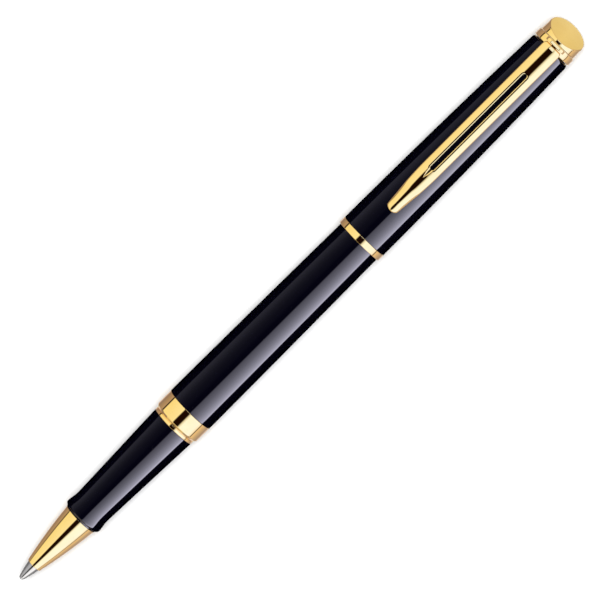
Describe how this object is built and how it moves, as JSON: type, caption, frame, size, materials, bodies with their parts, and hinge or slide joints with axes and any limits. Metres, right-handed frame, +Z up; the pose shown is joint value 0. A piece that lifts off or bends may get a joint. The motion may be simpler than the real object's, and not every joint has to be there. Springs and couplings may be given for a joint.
{
  "type": "rollerball pen",
  "caption": "Slim metal rollerball pen in black lacquer with gold trim, cap posted on the barrel, sprung clip and slanted finial.",
  "frame": {"origin": "on the surface that the pen lies on, under the middle of its overall box", "axes": "+X along the pen from the writing ball to the finial, +Z up, through the clip's side of the cap"},
  "size_m": [0.149, 0.0104, 0.0123],
  "materials": {
    "gold_plate": "mirror-polished gold plate",
    "black_lacquer": "deep gloss black lacquer over brass",
    "nickel_silver": "bare turned nickel silver",
    "carbide": "polished carbide",
    "brass": "turned brass",
    "spring_steel": "bright spring steel",
    "natural_plastic": "natural moulded plastic",
    "grey_plastic": "dark grey moulded plastic",
    "blue_plastic": "blue moulded plastic",
    "ink_fibre": "ink-soaked fibre"
  },
  "bodies": {
    "section": {"nose_cone": "gold_plate", "grip_section": "black_lacquer", "section_band": "gold_plate", "thread_sleeve": "brass"},
    "refill": {"refill_tip": "nickel_silver", "tip_holder": "natural_plastic", "ink_feed_rod": "ink_fibre", "refill_tube": "natural_plastic", "ink_reservoir": "ink_fibre", "refill_end_plug": "blue_plastic"},
    "ball": {"ball": "carbide"},
    "spring_pack": {"refill_spring": "spring_steel", "spring_seat": "natural_plastic"},
    "barrel": {"barrel": "black_lacquer", "barrel_thread_insert": "brass", "barrel_end_plug": "black_lacquer"},
    "cap_clutch": {"cap_clutch": "spring_steel"},
    "cap": {"cap_band": "gold_plate", "cap_tube": "black_lacquer", "inner_cap": "grey_plastic", "cap_end_insert": "brass", "finial_stud": "brass", "clip_collar": "gold_plate", "finial": "gold_plate"},
    "clip": {"clip": "gold_plate"}
  },
  "joints": [
    {"name": "refill_press", "type": "slide", "parent": "section", "child": "refill", "axis": [1, 0, 0], "range_m": [0, 0.0008], "stiffness_N_per_m": 400, "springref_m": -0.003, "deforming": ["refill_spring"]},
    {"name": "ball_roll", "type": "hinge", "parent": "refill", "child": "ball", "pos_m": [-0.07418, 0, 0.00522], "axis": [0, 1, 0], "continuous": true},
    {"name": "barrel_advance", "type": "slide", "parent": "section", "child": "spring_pack", "axis": [1, 0, 0], "range_m": [0, 0.00361]},
    {"name": "barrel_unscrew", "type": "hinge", "parent": "spring_pack", "child": "barrel", "pos_m": [-0.02834, 0, 0.00522], "axis": [1, 0, 0], "range_deg": [0, 1080]},
    {"name": "cap_pull", "type": "slide", "parent": "barrel", "child": "cap_clutch", "axis": [1, 0, 0], "range_m": [0, 0.035]},
    {"name": "cap_swivel", "type": "hinge", "parent": "cap_clutch", "child": "cap", "pos_m": [0.01699, 0, 0.00522], "axis": [1, 0, 0], "continuous": true},
    {"name": "clip_flex", "type": "hinge", "parent": "cap", "child": "clip", "pos_m": [0.06886, 0, 0.01095], "axis": [0, 1, 0], "range_deg": [0, 3], "stiffness_Nm_per_rad": 1.5}
  ],
  "couplings": [
    {"joint": "barrel_advance", "follows": "barrel_unscrew", "m_per_rad": 0.00019099}
  ]
}
